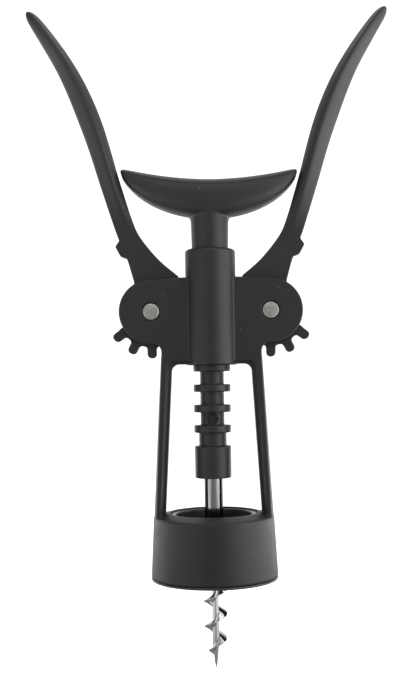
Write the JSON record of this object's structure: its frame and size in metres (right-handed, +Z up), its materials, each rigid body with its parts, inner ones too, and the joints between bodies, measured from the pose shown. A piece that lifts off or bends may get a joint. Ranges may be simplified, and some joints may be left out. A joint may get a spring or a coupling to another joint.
{
  "type": "lever corkscrew",
  "caption": "Wing corkscrew: a bell stands on the bottle, the handle turns the worm in, and two toothed levers lift the ringed rack and draw the cork.",
  "frame": {"origin": "centre of the bell's mouth, on the worm axis, in the plane of the liner's lower face", "axes": "+Z up along the worm axis towards the handle, +X towards the right lever, the levers swing in the XZ plane, -Y towards the viewer"},
  "size_m": [0.127, 0.0446, 0.2316],
  "materials": {
    "frame_paint": "satin charcoal-black paint on a zinc casting",
    "liner_plastic": "glossy black moulding",
    "lever_paint": "satin charcoal-black paint on a zinc casting",
    "pin_steel": "cropped steel end, dull and mottled",
    "rack_paint": "satin charcoal-black paint on a zinc casting",
    "handle_paint": "satin charcoal-black paint on a zinc casting",
    "worm_steel": "polished plated steel"
  },
  "bodies": {
    "frame": {"frame_casting": "frame_paint", "bell_liner": "liner_plastic", "left_pivot_pin": "pin_steel", "right_pivot_pin": "pin_steel"},
    "left_wing": {"left_lever": "lever_paint"},
    "right_wing": {"right_lever": "lever_paint"},
    "rack_slider": {"rack": "rack_paint", "spindle_retaining_pin": "rack_paint"},
    "spindle": {"handle": "handle_paint", "worm": "worm_steel"}
  },
  "joints": [
    {"name": "left_lever_hinge", "type": "hinge", "parent": "frame", "child": "left_wing", "pos_m": [-0.0209, 0, 0.0937], "axis": [0, -1, 0], "range_deg": [0, 156]},
    {"name": "right_lever_hinge", "type": "hinge", "parent": "frame", "child": "right_wing", "pos_m": [0.0209, 0, 0.0937], "axis": [0, 1, 0], "range_deg": [0, 156]},
    {"name": "rack_slide", "type": "slide", "parent": "frame", "child": "rack_slider", "axis": [0, 0, 1], "range_m": [0, 0.0412]},
    {"name": "handle_spin", "type": "hinge", "parent": "rack_slider", "child": "spindle", "pos_m": [0, 0, 0.1], "axis": [0, 0, 1], "continuous": true}
  ],
  "couplings": [
    {"joint": "right_lever_hinge", "follows": "left_lever_hinge", "ratio": 1},
    {"joint": "rack_slide", "follows": "left_lever_hinge", "m_per_rad": 0.015096}
  ]
}
